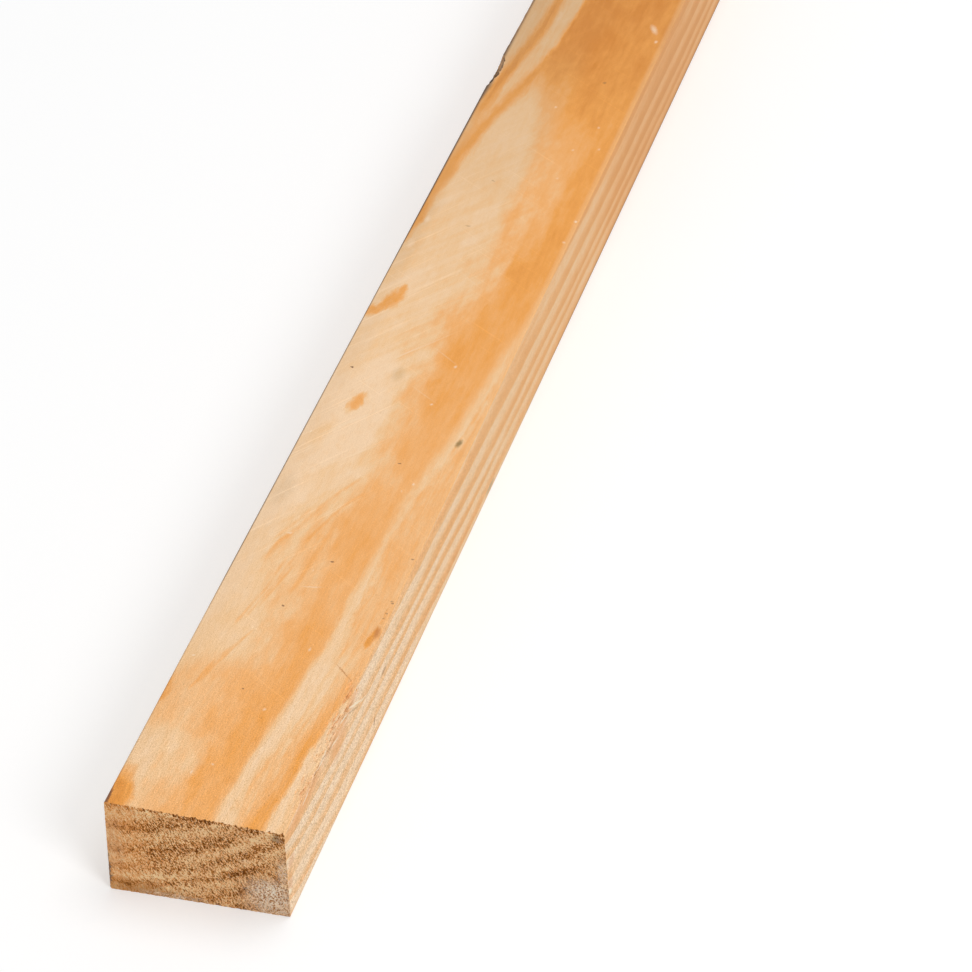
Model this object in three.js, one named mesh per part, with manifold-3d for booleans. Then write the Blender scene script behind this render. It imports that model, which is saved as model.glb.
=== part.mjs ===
// A planed softwood plank: one sawn length of pine stock, lying on its wide face.
//
// Millimetres, +Z up. X runs along the length from the near end to the far end, Y across
// the width and Z through the thickness. The origin is in the face that the plank lies on,
// under the middle of its length and width. The left edge is the one on +Y.

import * as THREE from 'three';
import { mergeVertices } from 'three/addons/utils/BufferGeometryUtils.js';
import Module from 'manifold-3d';

// ---- Stock size ----

const length = 3000;
const width = 64;
const thickness = 38;

// The planer leaves the four long arrises barely eased.
const arrisRadius = 0.6;
const arrisSteps = 3;

// The near end is cross-cut slightly out of square: its right-hand corner is short by this.
const nearEndSkew = 0.5;

// ---- Chip and wane on the upper left arris ----

const chipFromNearEnd = 483;
const chipLength = 28;
const chipWidth = 2.8;
const chipDepth = 2.4;

// Beyond the chip a shallow strip of wane runs along the same arris.
const waneLength = 130;
const waneWidth = 1.3;
const waneDepth = 1.3;

// ---- Dead knot: a leaning hole in the upper face, where the loose knot has shrunk away ----

const knotFromNearEnd = 1045;
const knotFromLeftEdge = 25;
const knotLengthAlongGrain = 11;
const knotWidthAcrossGrain = 14;
const knotDepth = 9;
const knotFloorShare = 0.6;
const knotLean = THREE.MathUtils.degToRad(14);
const knotSides = 20;

// ---- Spike knot: an old branch cut lengthwise, with a drying check along its heart ----

const spikeFromNearEnd = 2144;
const spikeFromLeftEdge = 35;
const checkLength = 24;
const checkWidth = 2.4;
const checkDepth = 4.5;
const checkSlant = THREE.MathUtils.degToRad(14);

// ---- Gouges: how finely the torn places are faceted, and how blunt their ends are ----

const gougeSteps = 8;
const gougeSides = 16;
const gougePower = 0.8;

// ---- Solids ----

// Cutters reach this far past the surface that they cut through.
const overshoot = 2;

// Length of waste that the saw takes off the end of the rough blank.
const sawWaste = 20;

const wasm = await Module();
wasm.setup();

// Turns a closed three.js geometry into a solid. Its vertices are merged near the origin,
// where they are most exact, and only then moved to their place.
function solid(geometry, placement) {
  const shell = geometry.clone();
  shell.deleteAttribute('normal');
  shell.deleteAttribute('uv');
  const merged = mergeVertices(shell);
  const corners = merged.index.array;
  const triangles = [];
  for (let i = 0; i < corners.length; i += 3) {
    const [a, b, c] = corners.slice(i, i + 3);
    // At a pole of a turned shape two corners are one point, and there is no triangle.
    if (a !== b && b !== c && c !== a) triangles.push(a, b, c);
  }
  merged.applyMatrix4(placement);
  return new wasm.Manifold(
    new wasm.Mesh({
      numProp: 3,
      vertProperties: new Float32Array(merged.attributes.position.array),
      triVerts: new Uint32Array(triangles),
    })
  );
}

// Turns a solid back into a three.js geometry.
function geometryOf(body) {
  const { vertProperties, triVerts } = body.getMesh();
  const geometry = new THREE.BufferGeometry();
  geometry.setAttribute('position', new THREE.BufferAttribute(vertProperties, 3));
  geometry.setIndex(new THREE.BufferAttribute(triVerts, 1));
  geometry.computeVertexNormals();
  return geometry;
}

// The planed section, seen along the plank: local x across the width, local y up.
function sectionShape() {
  const half = width / 2;
  const r = arrisRadius;
  const shape = new THREE.Shape();
  shape.absarc(half - r, r, r, -Math.PI / 2, 0);
  shape.absarc(half - r, thickness - r, r, 0, Math.PI / 2);
  shape.absarc(-half + r, thickness - r, r, Math.PI / 2, Math.PI);
  shape.absarc(-half + r, r, r, Math.PI, Math.PI * 1.5);
  return shape;
}

// The planed blank, longer than the plank by the saw waste at its near end.
function blank() {
  const geometry = new THREE.ExtrudeGeometry(sectionShape(), {
    depth: length + sawWaste,
    steps: 1,
    curveSegments: arrisSteps,
    bevelEnabled: false,
  });
  const alongX = new THREE.Matrix4().makeBasis(
    new THREE.Vector3(0, 1, 0),
    new THREE.Vector3(0, 0, 1),
    new THREE.Vector3(1, 0, 0)
  );
  alongX.setPosition(-length / 2 - sawWaste, 0, 0);
  return solid(geometry, alongX);
}

// What the saw takes off the near end. Its cutting face runs from the left corner, at the
// plank's full length, to the right corner, which is short by the skew.
function nearEndWaste() {
  const reach = 2 * (sawWaste + nearEndSkew);
  const block = new THREE.BoxGeometry(reach, 2 * width, thickness + 2 * overshoot);
  block.translate(-reach / 2, 0, 0);
  const placement = new THREE.Matrix4().makeRotationZ(Math.atan2(nearEndSkew, width));
  placement.setPosition(-length / 2 + nearEndSkew / 2, 0, thickness / 2);
  return solid(block, placement);
}

// A spindle-shaped gouge along X: full in the middle, running out to a point at each end.
// acrossRadius and deepRadius are its reach from its own axis at the middle.
function gouge(gougeLength, acrossRadius, deepRadius) {
  const profile = [];
  for (let step = 0; step <= gougeSteps; step++) {
    const along = step / gougeSteps;
    const radius = step % gougeSteps ? Math.sin(Math.PI * along) ** gougePower : 0;
    profile.push(new THREE.Vector2(radius, (along - 0.5) * gougeLength));
  }
  const spindle = new THREE.LatheGeometry(profile, gougeSides);
  spindle.rotateZ(-Math.PI / 2);
  spindle.scale(1, acrossRadius, deepRadius);
  return spindle;
}

// Torn grain on the upper left arris: a short chip, then the long shallow wane that
// starts inside the chip.
function arrisDamage() {
  const chipX = -length / 2 + chipFromNearEnd;
  const onArris = (x) => new THREE.Matrix4().makeTranslation(x, width / 2, thickness);
  const chip = solid(gouge(chipLength, chipWidth, chipDepth), onArris(chipX));
  const wane = solid(gouge(waneLength, waneWidth, waneDepth), onArris(chipX + waneLength / 2));
  return chip.add(wane);
}

// The open hole of the dead knot: an oval taper, leaning along the grain as the branch grew.
function deadKnotHole() {
  const cutHeight = knotDepth + overshoot;
  const bore = new THREE.CylinderGeometry(1, knotFloorShare, cutHeight, knotSides);
  bore.rotateX(Math.PI / 2);
  bore.scale(knotLengthAlongGrain / 2, knotWidthAcrossGrain / 2, 1);
  bore.translate(0, 0, overshoot - cutHeight / 2);
  const placement = new THREE.Matrix4().makeRotationY(knotLean);
  placement.setPosition(-length / 2 + knotFromNearEnd, width / 2 - knotFromLeftEdge, thickness);
  return solid(bore, placement);
}

// The drying check in the spike knot: a narrow gouge that lies across the plank.
function spikeKnotCheck() {
  const placement = new THREE.Matrix4().makeRotationZ(Math.PI / 2 - checkSlant);
  placement.setPosition(-length / 2 + spikeFromNearEnd, width / 2 - spikeFromLeftEdge, thickness);
  return solid(gouge(checkLength, checkWidth / 2, checkDepth), placement);
}

// ---- The plank ----

const body = blank()
  .subtract(nearEndWaste())
  .subtract(arrisDamage())
  .subtract(deadKnotHole())
  .subtract(spikeKnotCheck());

const plank = new THREE.Mesh(
  geometryOf(body),
  new THREE.MeshStandardMaterial({ color: 0xe6b57c, roughness: 0.62, metalness: 0, flatShading: true })
);
plank.name = 'plank';

const model = new THREE.Group();
model.add(plank);

export default model;
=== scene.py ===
import math

import bmesh
import bpy
from mathutils import Matrix, Vector, noise


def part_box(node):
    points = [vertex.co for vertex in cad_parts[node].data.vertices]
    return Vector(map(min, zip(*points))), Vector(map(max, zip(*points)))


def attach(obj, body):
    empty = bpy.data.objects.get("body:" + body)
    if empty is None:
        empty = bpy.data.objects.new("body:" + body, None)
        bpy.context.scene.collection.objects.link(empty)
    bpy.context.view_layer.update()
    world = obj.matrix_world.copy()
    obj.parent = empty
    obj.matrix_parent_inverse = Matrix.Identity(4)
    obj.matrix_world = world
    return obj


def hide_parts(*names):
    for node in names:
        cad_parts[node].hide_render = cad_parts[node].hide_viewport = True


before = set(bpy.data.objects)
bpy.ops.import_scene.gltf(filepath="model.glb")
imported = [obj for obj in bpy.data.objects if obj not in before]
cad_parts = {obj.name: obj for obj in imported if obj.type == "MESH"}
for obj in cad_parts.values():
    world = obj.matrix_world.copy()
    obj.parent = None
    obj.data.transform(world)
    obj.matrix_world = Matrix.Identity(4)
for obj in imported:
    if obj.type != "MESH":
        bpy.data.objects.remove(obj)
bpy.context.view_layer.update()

# ---- Camera ----
# A long lens on a stand, at head height past the near end and a little to the right of it.
# It looks down the plank, leaning a degree or so from upright.

camera_place = Vector((-2.536285, -0.418106, 1.013584))
camera_target = Vector((-1.297315, -0.044071, 0.038))
camera_lens, camera_sensor_width = 163.76, 36
camera_roll = math.radians(-1.434)


def in_scene(name, data):
    """A new object of that name in the scene."""
    made = bpy.data.objects.new(name, data)
    bpy.context.collection.objects.link(made)
    return made


camera_data = bpy.data.cameras.new("camera")
camera_data.lens = camera_lens
camera_data.sensor_width = camera_sensor_width
camera = in_scene("camera", camera_data)
look = (camera_target - camera_place).to_track_quat("-Z", "Y").to_matrix()
turn = look @ Matrix.Rotation(camera_roll, 3, "Z")
camera.matrix_world = Matrix.Translation(camera_place) @ turn.to_4x4()
bpy.context.scene.camera = camera
bpy.context.scene.view_settings.view_transform = "Standard"

# ---- Studio: floor, sky and lamps ----
# A white floor that keeps a soft shadow, an even white sky, and two large soft lamps:
# the key stands on the camera's right, the fill is high over the near half of the plank.


def rgb(code):
    """An sRGB hex colour such as "#EDC9A0" as the linear colour that a socket holds."""
    shares = [int(code[i : i + 2], 16) / 255 for i in (1, 3, 5)]
    linear = [s / 12.92 if s <= 0.04045 else ((s + 0.055) / 1.055) ** 2.4 for s in shares]
    return (*linear, 1)


def add(tree, kind, *feeds, **settings):
    """Adds a node, sets it up, feeds its live inputs in order and gives its first live output.

    A feed is a socket to link, a value to set, or None for an input that keeps its default."""
    node = tree.nodes.new(kind)
    for name, value in settings.items():
        setattr(node, name, value)
    inputs = [socket for socket in node.inputs if socket.enabled]
    for socket, feed in zip(inputs, feeds):
        if isinstance(feed, bpy.types.NodeSocket):
            tree.links.new(feed, socket)
        elif feed is not None:
            socket.default_value = feed
    return next((socket for socket in node.outputs if socket.enabled), None)


def new_material(name):
    """An empty node material."""
    made = bpy.data.materials.new(name)
    made.use_nodes = True
    made.node_tree.nodes.clear()
    return made


floor_half = 9.0
floor_colour = "#DCDCDC"
floor_lift = 0.34

floor_corners = [(x * floor_half, y * floor_half, 0) for x, y in ((-1, -1), (1, -1), (1, 1), (-1, 1))]
floor_mesh = bpy.data.meshes.new("floor")
floor_mesh.from_pydata(floor_corners, [], [(0, 1, 2, 3)])
floor = in_scene("floor", floor_mesh)


def seen_directly(tree):
    """1 for what the camera sees, also in a mirror or through glass, and 0 for what lights it."""
    ray = add(tree, "ShaderNodeLightPath").node.outputs
    either = add(tree, "ShaderNodeMath", ray["Is Camera Ray"], ray["Is Glossy Ray"], operation="MAXIMUM")
    return add(tree, "ShaderNodeMath", either, ray["Is Transmission Ray"], operation="MAXIMUM")


# Matt white vinyl. What the camera sees is lifted a little, so that open floor reads as white.
white_vinyl = new_material("matt_white_vinyl")
tree = white_vinyl.node_tree
glow = add(tree, "ShaderNodeMath", seen_directly(tree), floor_lift, operation="MULTIPLY")
paint = add(tree, "ShaderNodeBsdfDiffuse", rgb(floor_colour))
lift = add(tree, "ShaderNodeEmission", rgb("#FFFFFF"), glow)
add(tree, "ShaderNodeOutputMaterial", add(tree, "ShaderNodeAddShader", paint, lift))
floor_mesh.materials.append(white_vinyl)

sky_level = 0.5
sky = bpy.data.worlds.new("sky")
sky.use_nodes = True
tree = sky.node_tree
tree.nodes.clear()
level = add(tree, "ShaderNodeMix", seen_directly(tree), sky_level, 1.0)
add(tree, "ShaderNodeOutputWorld", add(tree, "ShaderNodeBackground", rgb("#FFFFFF"), level))
bpy.context.scene.world = sky

lamps = {
    "key_lamp": {"place": (-2.7, -1.7, 1.7), "target": (-1.2, 0.0, 0.02), "side": 1.1, "power": 25},
    "fill_lamp": {"place": (-0.6, -0.5, 2.6), "target": (-0.4, 0.0, 0.02), "side": 1.8, "power": 22},
}
for name, lamp in lamps.items():
    lamp_data = bpy.data.lights.new(name, "AREA")
    lamp_data.shape = "DISK"
    lamp_data.size = lamp["side"]
    lamp_data.energy = lamp["power"]
    lamp_object = in_scene(name, lamp_data)
    aim = Vector(lamp["target"]) - Vector(lamp["place"])
    lamp_object.location = lamp["place"]
    lamp_object.rotation_euler = aim.to_track_quat("-Z", "Y").to_euler()

# ---- Plank: planed faces ----
# One length of planed pine, sawn from beside the pith so that its upper face lies almost flat
# in one growth ring. Its size comes from the frame; the rest is in millimetres: "along" runs
# from the near end, "across" from the left edge and "height" from the face it lies on.

MM = 0.001

plank_low, plank_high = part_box("plank")
plank_length = (plank_high[0] - plank_low[0]) / MM
plank_width = (plank_high[1] - plank_low[1]) / MM
plank_thickness = (plank_high[2] - plank_low[2]) / MM


def drawn_line(tree, value, points):
    """A smooth line through a few (value, height) points, as a socket that follows value."""
    first, last = float(points[0][0]), float(points[-1][0])
    heights = [float(height) for _, height in points]
    low, high = min(heights), max(heights)
    share = add(tree, "ShaderNodeMapRange", value, first, last, 0.0, 1.0)
    shaped = add(tree, "ShaderNodeFloatCurve", 1.0, share)
    mapping = shaped.node.mapping
    mapping.extend = "HORIZONTAL"
    curve = mapping.curves[0]
    places = [((x - first) / (last - first), (height - low) / (high - low)) for x, height in points]
    curve.points[0].location = places[0]
    curve.points[1].location = places[-1]
    for place in places[1:-1]:
        curve.points.new(*place)
    mapping.update()
    return add(tree, "ShaderNodeMapRange", shaped, 0.0, 1.0, low, high)


def past_line(tree, across, along, points):
    """How far a place lies past a line that is drawn along the plank."""
    return add(tree, "ShaderNodeMath", across, drawn_line(tree, along, points), operation="SUBTRACT")


def scaled_along(tree, value, along, points):
    """The value times the height of a line that is drawn along the plank."""
    return add(tree, "ShaderNodeMath", value, drawn_line(tree, along, points), operation="MULTIPLY")


def step(tree, value, start, stop, low=0.0, high=1.0):
    """A smooth step: low up to start, high from stop on. start and stop may be sockets."""
    return add(tree, "ShaderNodeMapRange", value, start, stop, low, high, interpolation_type="SMOOTHSTEP")


def crossing(tree, past, along, widths, start, stop):
    """A smooth step over a border that is as wide as a line drawn along the plank says."""
    share = add(tree, "ShaderNodeMath", past, drawn_line(tree, along, widths), operation="DIVIDE")
    return step(tree, share, start, stop)


def layered(tree, base, *layers):
    """The base with layers over it, each a (value, weight) to add."""
    for value, weight in layers:
        base = add(tree, "ShaderNodeMath", value, weight, base, operation="MULTIPLY_ADD")
    return base


def plank_place(tree):
    """The point on the plank in millimetres: its (along, across, height) vector."""
    point = add(tree, "ShaderNodeTexCoord").node.outputs["Object"]
    to_mm = (1 / MM, -1 / MM, 1 / MM)
    corner = (plank_length / 2, plank_width / 2, 0)
    return add(tree, "ShaderNodeVectorMath", point, to_mm, corner, operation="MULTIPLY_ADD")


def streaks(tree, place, sizes, detail=2.0, roughness=0.5, turn=(0, 0, 0)):
    """Noise from -0.5 to 0.5 whose grains have these sizes in mm, turned by degrees."""
    angles = tuple(math.radians(a) for a in turn)
    squeezed = add(tree, "ShaderNodeMapping", place, None, angles, sizes, vector_type="TEXTURE")
    grain = add(tree, "ShaderNodeTexNoise", squeezed, 1.0, detail, roughness)
    return add(tree, "ShaderNodeMath", grain, 0.5, operation="SUBTRACT")


# How far down into the wood a mark on the face reaches, in mm.
mark_reach_down = 8


def spots(tree, place, marks, hardness=1.0):
    """The strongest of several oval marks at the point, from 0 to the mark's own strength.

    A mark is (along, across, half length, half width, turn in degrees, strength)."""
    strongest = 0.0
    for along, across, half_length, half_width, degrees, strength in marks:
        middle, turn = (along, across, plank_thickness), (0, 0, math.radians(degrees))
        reach = (half_length, half_width, mark_reach_down)
        oval = add(tree, "ShaderNodeMapping", place, middle, turn, reach, vector_type="TEXTURE")
        dome = add(tree, "ShaderNodeTexGradient", oval, gradient_type="SPHERICAL")
        disc = add(tree, "ShaderNodeMath", dome, hardness, operation="MULTIPLY", use_clamp=True)
        tint = add(tree, "ShaderNodeMath", disc, strength, operation="MULTIPLY")
        strongest = add(tree, "ShaderNodeMath", tint, strongest, operation="MAXIMUM")
    return strongest


def uneven(tree, tone, place, deeper, paler, hardness=1.0, where=1.0):
    """The tone with places where the figure is deeper or paler than its ring would make it."""
    more, less = spots(tree, place, deeper, hardness), spots(tree, place, paler, hardness)
    change = add(tree, "ShaderNodeMath", more, less, operation="SUBTRACT")
    return layered(tree, tone, (change, where))


def marked(tree, wood, place, marks, hardness, colour, where=1.0):
    """The wood with marks of one colour on it, as strong as where says."""
    shown = add(tree, "ShaderNodeMath", spots(tree, place, marks, hardness), where, operation="MULTIPLY")
    return add(tree, "ShaderNodeMix", shown, wood, rgb(colour), data_type="RGBA")


def thread(tree, along, across, points, half_width):
    """A line along the grain: 1 on the drawn line, 0 at its half width and past its ends."""
    gap = add(tree, "ShaderNodeMath", past_line(tree, across, along, points), operation="ABSOLUTE")
    body = step(tree, gap, 0.0, half_width, 1.0, 0.0)
    first, last = points[0][0], points[-1][0]
    fade = (last - first) / 5
    rising = step(tree, along, first, first + fade)
    falling = step(tree, along, last - fade, last, 1.0, 0.0)
    held = add(tree, "ShaderNodeMath", rising, falling, operation="MULTIPLY")
    return add(tree, "ShaderNodeMath", body, held, operation="MULTIPLY")


def drifted(tree, place, *drifts):
    """The point pushed about by noise, once for each (sizes of its grains, amounts of push)."""
    for sizes, amounts in drifts:
        squeezed = add(tree, "ShaderNodeMapping", place, None, None, sizes, vector_type="TEXTURE")
        cloud = add(tree, "ShaderNodeTexNoise", squeezed, 1.0, 2.0, 0.5).node.outputs["Color"]
        push = add(tree, "ShaderNodeVectorMath", cloud, (0.5, 0.5, 0.5), operation="SUBTRACT")
        place = add(tree, "ShaderNodeVectorMath", push, amounts, place, operation="MULTIPLY_ADD")
    return place


def lit(tree, colour, change):
    """The colour made lighter or darker by a share; blue changes most, as pale fibres are greyer."""
    factors = add(tree, "ShaderNodeVectorMath", change, (1, 1.3, 1.8), (1, 1, 1), operation="MULTIPLY_ADD")
    return add(tree, "ShaderNodeVectorMath", colour, factors, operation="MULTIPLY")


def fine_grain(tree, place, strength):
    """Light and dark of a planed face close up: fibres, grit, dark pores and lifted pale fibres.

    Real fibres are about 0.04 mm wide. Here they are drawn some ten times as wide, so that they
    show, and so are those of the sawn end and of torn wood."""
    fibres = streaks(tree, place, (4, 0.45, 0.45), 3.0, 0.7)
    grit = streaks(tree, place, (0.55, 0.38, 0.38), 2.0, 0.8)
    pores = step(tree, streaks(tree, place, (1.5, 0.5, 0.5), 1.0), 0.2, 0.3, 0.0, -0.3)
    aside = add(tree, "ShaderNodeVectorMath", place, (311, 37, 23), operation="ADD")
    motes = step(tree, streaks(tree, aside, (1.1, 0.6, 0.6), 1.0), 0.2, 0.3, 0.0, 0.2)
    light = layered(tree, 0.0, (fibres, 0.32), (grit, 0.9), (pores, 1.0), (motes, 1.0))
    return add(tree, "ShaderNodeMath", light, strength, operation="MULTIPLY")


# Near part: the rings are circles round the heart of the tree, which drifts beside the plank.
heart_across = [(0, -3.8), (288, 9.3), (512, 21.8), (640, 30)]
heart_height = [(0, 111.4), (288, 103), (512, 106.6), (640, 110)]
# Radii at which a ring ends: its dark summer wood stops there and the next pale ring begins.
ring_ends = [(40, -5), (65.5, -2), (74.7, -1), (84.2, 0), (94.3, 1), (102.6, 2), (108.2, 3)]
ring_ends += [(115.6, 4), (123.2, 5), (145, 8)]

# Far part: the ring that the upper face is cut from crests under it. Where it does, how many
# rings up the crest is, and how quickly the rings follow each other to the left and the right.
crest_across = [
    (560, 34), (760, 34), (900, 30), (1045, 24), (1300, 20), (1700, 16), (2100, 14), (3000, 12),
]
crest_level = [
    (560, -0.3), (780, -0.28), (830, -0.12), (870, 0.15), (940, 0.2), (1000, 0.2), (1050, 0.1),
    (1085, -0.35), (1150, -0.4), (1185, 0.12), (1220, -0.25), (1290, -0.25), (1330, 0.3), (1440, 0),
    (1540, 0.3), (1650, -0.3), (1760, -0.3), (1830, 0.25), (1930, -0.2), (2050, -0.3),
    (2144, 0.1), (2300, 0.3), (2600, 0.3), (3000, 0.4),
]
left_crowding = [
    (560, 3.1), (760, 1.4), (900, 1.2), (980, 0.6), (1090, 0.8), (1220, 1.6), (1500, 6), (2100, 5),
    (3000, 2),
]
right_crowding = [
    (560, 0.5), (760, 0.3), (960, 0.5), (1100, 1.3), (1500, 1.5), (2000, 2.8), (2400, 1.9), (3000, 2),
]
depth_per_ring = 7.5
near_part_ends, far_part_starts = 580, 720

# Where a buried branch lifts the rings: (along, across, half length, half width, turn, rings).
ring_swells = [
    (1200, 24, 46, 12, 4, 0.5),
    (1420, 8, 90, 15, 6, 1.4),
    (1640, 10, 110, 14, 4, 1.7),
    (1880, 5, 90, 16, 8, 1.5),
]
# Round a knot the growth bulges outwards, so that younger rings come to the face there.
# So do lower swells, each a broad patch of summer wood. Each group has its own steepness.
knot_bulges = [
    ([(1047, 12, 97, 41, 0, 1.05), (905, 22, 44, 9, -4, 0.5), (966, 56, 52, 15, 6, 0.7)], 2.2),
    ([(1048, 23, 32, 20, 0, 1.0)], 1.5),
    ([(2144, 34, 60, 26, 14, 1.7)], 1.0),
]


def near_rings(tree, along, across, height):
    """The ring number of a point by its distance from the heart."""
    aside = past_line(tree, across, along, heart_across)
    offset = add(tree, "ShaderNodeCombineXYZ", aside, past_line(tree, height, along, heart_height), 0.0)
    radius = add(tree, "ShaderNodeVectorMath", offset, operation="LENGTH")
    return drawn_line(tree, radius, ring_ends)


def far_rings(tree, place, along, across, height):
    """The ring number of a point by its distance from the crest, with the branches' swells."""
    aside = past_line(tree, across, along, crest_across)
    on_right = step(tree, aside, -4.0, 4.0)
    left, right = drawn_line(tree, along, left_crowding), drawn_line(tree, along, right_crowding)
    crowding = add(tree, "ShaderNodeMix", on_right, left, right)
    square = add(tree, "ShaderNodeMath", aside, aside, operation="MULTIPLY")
    number = add(tree, "ShaderNodeMath", square, crowding, operation="MULTIPLY")
    number = layered(tree, drawn_line(tree, along, crest_level), (number, 0.001))
    number = layered(tree, number, (spots(tree, place, ring_swells), 1.0))
    for marks, steepness in knot_bulges:
        number = layered(tree, number, (spots(tree, place, marks, steepness), -1.0))
    depth = add(tree, "ShaderNodeMath", plank_thickness, height, operation="SUBTRACT")
    wavering = streaks(tree, place, (130, 20, 40), 1.0)
    return layered(tree, number, (wavering, 1.0), (depth, 1 / depth_per_ring))


def ring_number(tree, place):
    """How many rings the point lies outside the ring that the upper face is cut from."""
    parts = add(tree, "ShaderNodeSeparateXYZ", place).node.outputs
    along, across, height = parts["X"], parts["Y"], parts["Z"]
    near = near_rings(tree, along, across, height)
    far = far_rings(tree, place, along, across, height)
    share = step(tree, along, near_part_ends, far_part_starts)
    return add(tree, "ShaderNodeMix", share, near, far)


def ring_tone(tree, number, shape):
    """The depth of colour at a share of the way through a ring, by a curve of that shape."""
    return drawn_line(tree, add(tree, "ShaderNodeMath", number, operation="FRACT"), shape)


def ramp_colour(tree, tone, colours):
    """The colour at a tone, from (tone, hex colour) pairs."""
    ramp = add(tree, "ShaderNodeValToRGB", tone)
    stops = ramp.node.color_ramp.elements
    while len(stops) < len(colours):
        stops.new(0.5)
    for stop, (position, colour) in zip(stops, colours):
        stop.position = position
        stop.color = rgb(colour)
    return ramp


# Planed pine, from cream spring wood to deep amber summer wood, and the painted shade on its left arris.
arris_shade_colour = "#402B1A"
pine_colours = [(0.0, "#F6D2AA"), (0.2, "#F2C693"), (0.45, "#F2B16C"), (0.7, "#ED9F43"), (1.0, "#D88418")]


# How wood bends light, and how strongly it shines: planed or cut smooth, and torn into fibres.
wood_ior, smooth_specular, torn_specular = 1.5, 0.5, 0.02
spring_roughness, summer_roughness = 0.66, 0.52


def finish(tree, colour, roughness, specular, bump=None):
    """Ends a material of bare wood, with its roughness, its shine and any relief."""
    surface = add(tree, "ShaderNodeBsdfPrincipled", colour, 0.0, roughness, wood_ior)
    surface.node.inputs["Specular IOR Level"].default_value = specular
    if bump is not None:
        tree.links.new(bump, surface.node.inputs["Normal"])
    add(tree, "ShaderNodeOutputMaterial", surface)


def satin_wood(tree, colour, tone, relief):
    """The planed surface: a dull satin, its hard summer wood a little smoother, faintly ribbed."""
    roughness = add(tree, "ShaderNodeMapRange", tone, 0.0, 1.0, spring_roughness, summer_roughness)
    ribs = add(tree, "ShaderNodeBump", 0.4, 0.0002, None, relief)
    finish(tree, colour, roughness, smooth_specular, ribs)


# Planed pine, flat-sawn: a satin face with ring boundaries that drift slowly across it, cloudy
# cream spring wood, amber summer wood, and the fine fibre streaks that a planer leaves.
planed_face = new_material("planed_pine_face")
tree = planed_face.node_tree
place = plank_place(tree)
# The fibres wander by about a millimetre, with a fray on top.
moved = drifted(
    tree, place, ((70, 14, 14), (0, 5, 5)), ((14, 3, 3), (0, 3, 3)), ((4, 0.6, 0.6), (0, 1.6, 1.6))
)
parts = add(tree, "ShaderNodeSeparateXYZ", moved).node.outputs
along, across = parts["X"], parts["Y"]

# The ring that ends along the right edge, the next one that leaves over the arris, and the
# ring that comes in from the left edge past the chip; then where the summer wood sets in.
right_ring_end = [
    (0, 37.4), (32, 39.4), (64, 44.2), (96, 47), (128, 48.3), (160, 49.4), (192, 50.8), (210, 52.8),
    (224, 55.2), (256, 57.8), (288, 61), (314, 63.6), (352, 66), (700, 67),
]
outer_ring_end = [(0, 55.2), (16, 56), (32, 57.8), (48, 59.5), (64, 62), (83, 65.5), (100, 70)]
left_ring_end = [
    (350, -6), (384, 0), (416, 3.4), (432, 5.2), (448, 8), (464, 11.6), (480, 15), (496, 18.4),
    (528, 21.6), (560, 22.3), (640, 23),
]
summer_start = [
    (0, 24.3), (32, 25.6), (64, 28), (96, 31), (120, 31), (144, 29), (160, 26.6), (176, 27.6),
    (192, 29), (224, 31), (256, 37), (288, 36), (320, 40.3), (352, 42), (384, 46.5), (416, 47),
    (440, 43), (456, 37), (470, 31), (484, 26), (500, 16), (640, 10),
]
summer_softness = [
    (0, 2.5), (50, 6), (80, 14), (110, 18), (160, 24), (200, 20), (224, 19), (256, 14), (300, 9),
    (352, 12), (384, 18), (400, 18), (440, 22), (480, 10), (640, 14),
]
right_softness = [(0, 4.2), (110, 4), (190, 4), (300, 5), (640, 5)]

to_right_end = past_line(tree, across, along, right_ring_end)
to_outer_end = past_line(tree, across, along, outer_ring_end)
to_left_end = past_line(tree, across, along, left_ring_end)
to_summer = past_line(tree, across, along, summer_start)

clouds = streaks(tree, place, (46, 17, 17), 3.0)
patches = streaks(tree, place, (16, 6, 6), 4.0, 0.6)
strands = streaks(tree, moved, (90, 2.4, 2.4), 3.0, 0.6)
lines = streaks(tree, moved, (200, 1.6, 1.6), 2.0, 0.6)

# Spring wood left of the summer wood: cream, with warmer belts at places along the plank.
spring_belts = [
    (0, 0.3), (14, 0.26), (30, 0.1), (42, 0.2), (60, 0.38), (72, 0.36), (84, 0.2), (98, 0.13),
    (120, 0.14), (170, 0.06), (195, -0.04), (235, -0.02), (300, 0.14), (360, 0.14), (450, 0.2),
    (560, 0.3),
]
nearing = [
    (0, 0.16), (60, 0.2), (100, 0.16), (150, 0.08), (250, 0.16), (330, 0.2), (384, 0.1), (430, 0.24),
    (640, 0.1),
]
sweeping = [(140, 0), (190, 0.4), (330, 0.5), (420, 0.3), (480, 0.1), (640, 0)]
near_summer = step(tree, layered(tree, to_summer, (patches, 10.0)), -19.0, -1.0)
sweeps = streaks(tree, place, (60, 5, 5), 3.0, 0.5, (0, 0, 38))
spring = layered(
    tree,
    drawn_line(tree, along, spring_belts),
    (clouds, 0.5),
    (patches, 0.36),
    (strands, 0.14),
    (scaled_along(tree, near_summer, along, nearing), 1.0),
    (scaled_along(tree, sweeps, along, sweeping), 1.0),
)

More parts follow.
